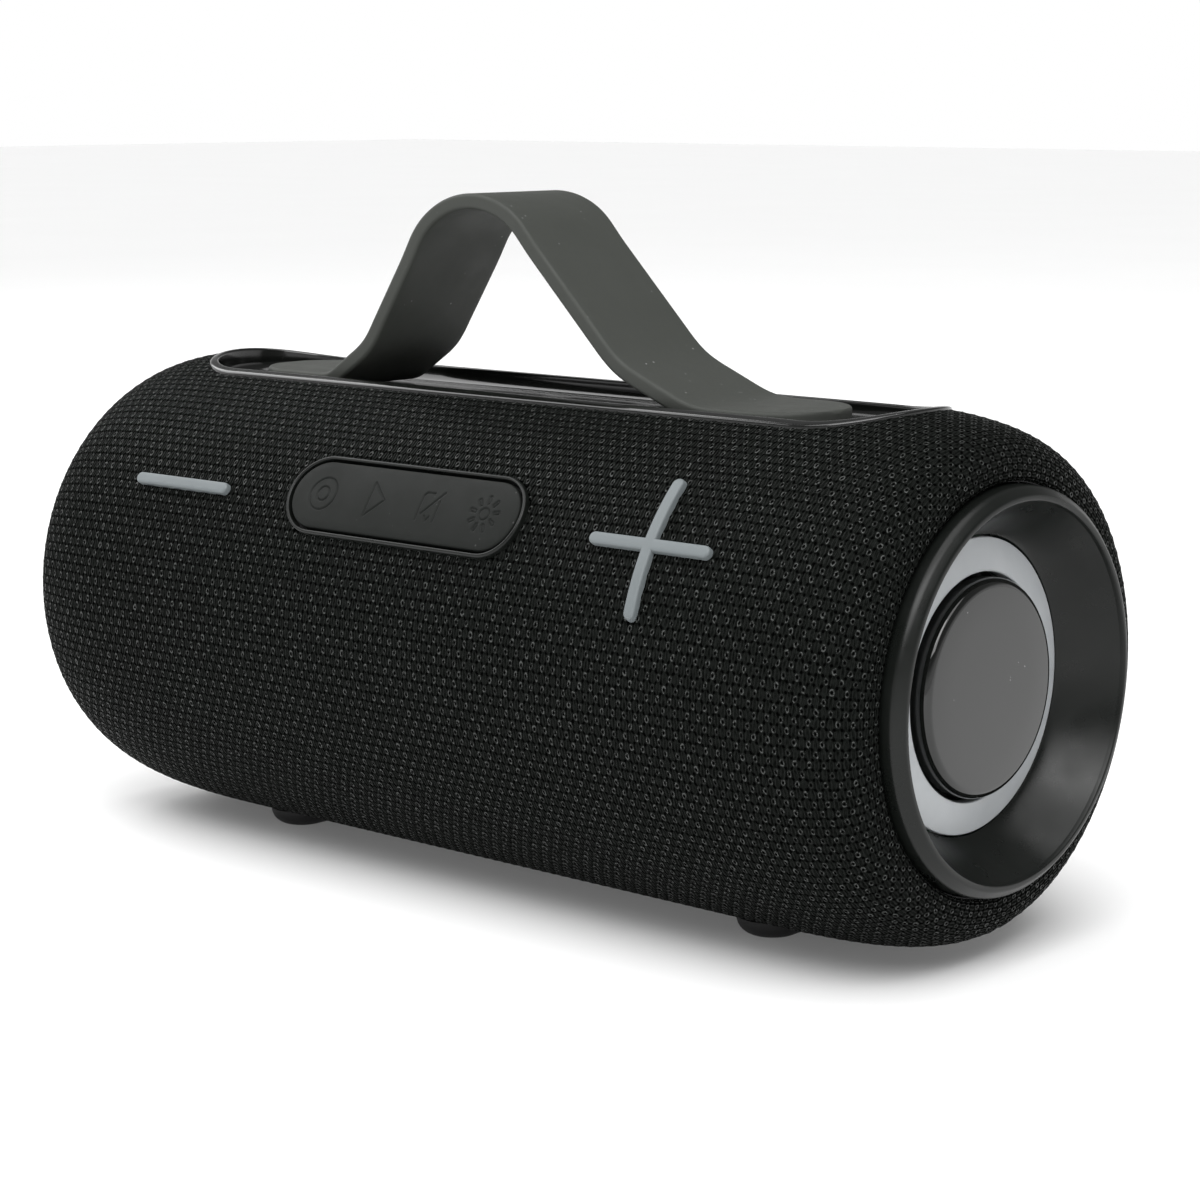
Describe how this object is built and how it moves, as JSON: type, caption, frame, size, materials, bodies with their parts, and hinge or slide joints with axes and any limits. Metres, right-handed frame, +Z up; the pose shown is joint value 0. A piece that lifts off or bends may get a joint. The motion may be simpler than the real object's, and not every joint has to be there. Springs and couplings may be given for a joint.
{
  "type": "shower speaker",
  "caption": "Cylindrical splash-proof speaker with a knitted sleeve, lit end rings round passive radiators, a recessed keypad and a pop-up carrying strap.",
  "frame": {"origin": "centre of the whole part's box, at the surface that the feet stand on", "axes": "+X along the cylinder towards the plus button's end, -Y towards the buttons, +Z up through the strap"},
  "size_m": [0.2168, 0.096, 0.1316],
  "materials": {
    "housing_plastic": "fine moulded ABS",
    "knit_fabric": "tight black warp-knit mesh",
    "tray_gloss": "polished piano black",
    "steel": "plated steel",
    "soft_rubber": "smooth matt rubber",
    "bezel_satin": "satin dark plastic with a lighter turned lip",
    "light_diffuser": "milky translucent light guide",
    "circuit_board": "solder-masked board",
    "radiator_gloss": "polished black disc",
    "keypad_silicone": "matt silicone keypad",
    "volume_grey": "matt grey plastic",
    "strap_silicone": "matt grey silicone",
    "cone_paper": "pressed paper",
    "coil_copper": "enamelled wire",
    "battery_wrap": "shrink-wrapped cell",
    "switch_body": "tact switch"
  },
  "bodies": {
    "housing": {"front_shell": "housing_plastic", "rear_shell": "housing_plastic", "fabric_sleeve": "knit_fabric", "strap_tray": "tray_gloss", "case_screws": "steel", "feet": "soft_rubber", "end_gaskets": "soft_rubber", "left_end_frame": "housing_plastic", "right_end_frame": "housing_plastic", "left_bezel": "bezel_satin", "right_bezel": "bezel_satin", "left_light_ring": "light_diffuser", "right_light_ring": "light_diffuser", "left_led_board": "circuit_board", "right_led_board": "circuit_board", "left_radiator_surround": "soft_rubber", "right_radiator_surround": "soft_rubber", "left_driver_basket": "housing_plastic", "right_driver_basket": "housing_plastic", "left_driver_magnet": "steel", "right_driver_magnet": "steel", "left_cone_surround": "soft_rubber", "right_cone_surround": "soft_rubber", "keypad_bezel": "bezel_satin", "keypad_pad": "keypad_silicone", "button_boards": "circuit_board", "button_switches": "switch_body", "main_board": "circuit_board", "battery_cells": "battery_wrap", "battery_holder": "housing_plastic", "usb_socket": "steel", "aux_socket": "housing_plastic", "port_panel": "housing_plastic"},
    "power_key": {"power_key": "keypad_silicone"},
    "play_key": {"play_key": "keypad_silicone"},
    "pairing_key": {"pairing_key": "keypad_silicone"},
    "light_key": {"light_key": "keypad_silicone"},
    "minus_button": {"minus_button": "volume_grey"},
    "plus_button": {"plus_button": "volume_grey"},
    "left_radiator": {"left_radiator": "radiator_gloss"},
    "right_radiator": {"right_radiator": "radiator_gloss"},
    "left_cone": {"left_cone": "cone_paper", "left_voice_coil": "coil_copper", "left_dust_cap": "cone_paper"},
    "right_cone": {"right_cone": "cone_paper", "right_voice_coil": "coil_copper", "right_dust_cap": "cone_paper"},
    "port_flap": {"port_flap": "soft_rubber"},
    "strap_end_left": {"strap_end_left": "strap_silicone", "left_strap_stud": "steel"},
    "strap_link_1": {"strap_link_1": "strap_silicone"},
    "strap_link_2": {"strap_link_2": "strap_silicone"},
    "strap_link_3": {"strap_link_3": "strap_silicone"},
    "strap_link_4": {"strap_link_4": "strap_silicone"},
    "strap_link_5": {"strap_link_5": "strap_silicone"},
    "strap_link_6": {"strap_link_6": "strap_silicone"},
    "strap_end_right": {"strap_end_right": "strap_silicone", "right_strap_stud": "steel"}
  },
  "joints": [
    {"name": "power_press", "type": "slide", "parent": "housing", "child": "power_key", "axis": [0, 0.832, -0.5548], "range_m": [0, 0.0004], "stiffness_N_per_m": 800},
    {"name": "play_press", "type": "slide", "parent": "housing", "child": "play_key", "axis": [0, 0.832, -0.5548], "range_m": [0, 0.0004], "stiffness_N_per_m": 800},
    {"name": "pairing_press", "type": "slide", "parent": "housing", "child": "pairing_key", "axis": [0, 0.832, -0.5548], "range_m": [0, 0.0004], "stiffness_N_per_m": 800},
    {"name": "light_press", "type": "slide", "parent": "housing", "child": "light_key", "axis": [0, 0.832, -0.5548], "range_m": [0, 0.0004], "stiffness_N_per_m": 800},
    {"name": "minus_press", "type": "slide", "parent": "housing", "child": "minus_button", "axis": [0, 0.8499, -0.527], "range_m": [0, 0.0005], "stiffness_N_per_m": 800},
    {"name": "plus_press", "type": "slide", "parent": "housing", "child": "plus_button", "axis": [0, 0.8499, -0.527], "range_m": [0, 0.0005], "stiffness_N_per_m": 800},
    {"name": "left_radiator_travel", "type": "slide", "parent": "housing", "child": "left_radiator", "axis": [-1, 0, 0], "range_m": [-0.002, 0.002], "stiffness_N_per_m": 900, "deforming": ["left_radiator_surround"]},
    {"name": "right_radiator_travel", "type": "slide", "parent": "housing", "child": "right_radiator", "axis": [1, 0, 0], "range_m": [-0.002, 0.002], "stiffness_N_per_m": 900, "deforming": ["right_radiator_surround"]},
    {"name": "left_cone_travel", "type": "slide", "parent": "housing", "child": "left_cone", "axis": [0, -1, 0], "range_m": [-0.0012, 0.0012], "stiffness_N_per_m": 1200, "deforming": ["left_cone_surround"]},
    {"name": "right_cone_travel", "type": "slide", "parent": "housing", "child": "right_cone", "axis": [0, -1, 0], "range_m": [-0.0012, 0.0012], "stiffness_N_per_m": 1200, "deforming": ["right_cone_surround"]},
    {"name": "port_flap_hinge", "type": "hinge", "parent": "housing", "child": "port_flap", "pos_m": [0, 0.0463, 0.0431], "axis": [-1, 0, 0], "range_deg": [0, 100]},
    {"name": "strap_slide", "type": "slide", "parent": "housing", "child": "strap_end_left", "axis": [-1, 0, 0], "range_m": [0, 0.0132]},
    {"name": "strap_bend_1", "type": "hinge", "parent": "strap_end_left", "child": "strap_link_1", "pos_m": [-0.0484, 0, 0.09325], "axis": [0, 1, 0], "range_deg": [0, 34.2]},
    {"name": "strap_bend_2", "type": "hinge", "parent": "strap_link_1", "child": "strap_link_2", "pos_m": [-0.03737, 0, 0.10069], "axis": [0, 1, 0], "range_deg": [0, 23.2]},
    {"name": "strap_bend_3", "type": "hinge", "parent": "strap_link_2", "child": "strap_link_3", "pos_m": [-0.02109, 0, 0.12576], "axis": [0, 1, 0], "range_deg": [-34.2, 0]},
    {"name": "strap_bend_4", "type": "hinge", "parent": "strap_link_3", "child": "strap_link_4", "pos_m": [-0.01096, 0, 0.13006], "axis": [0, 1, 0], "range_deg": [-34.2, 0]},
    {"name": "strap_bend_5", "type": "hinge", "parent": "strap_link_4", "child": "strap_link_5", "pos_m": [-0.00017, 0, 0.12796], "axis": [0, 1, 0], "range_deg": [-34.2, 0]},
    {"name": "strap_bend_6", "type": "hinge", "parent": "strap_link_5", "child": "strap_link_6", "pos_m": [0.02728, 0, 0.10052], "axis": [0, 1, 0], "range_deg": [0, 22.7]},
    {"name": "strap_bend_7", "type": "hinge", "parent": "strap_link_6", "child": "strap_end_right", "pos_m": [0.04483, 0, 0.09325], "axis": [0, 1, 0], "range_deg": [0, 22.7]}
  ],
  "couplings": [
    {"joint": "strap_bend_1", "follows": "strap_slide", "rad_per_m": 44.956},
    {"joint": "strap_bend_2", "follows": "strap_slide", "rad_per_m": 30.411},
    {"joint": "strap_bend_3", "follows": "strap_slide", "rad_per_m": -44.956},
    {"joint": "strap_bend_4", "follows": "strap_slide", "rad_per_m": -44.956},
    {"joint": "strap_bend_5", "follows": "strap_slide", "rad_per_m": -44.956},
    {"joint": "strap_bend_6", "follows": "strap_slide", "rad_per_m": 29.75},
    {"joint": "strap_bend_7", "follows": "strap_slide", "rad_per_m": 29.75}
  ]
}
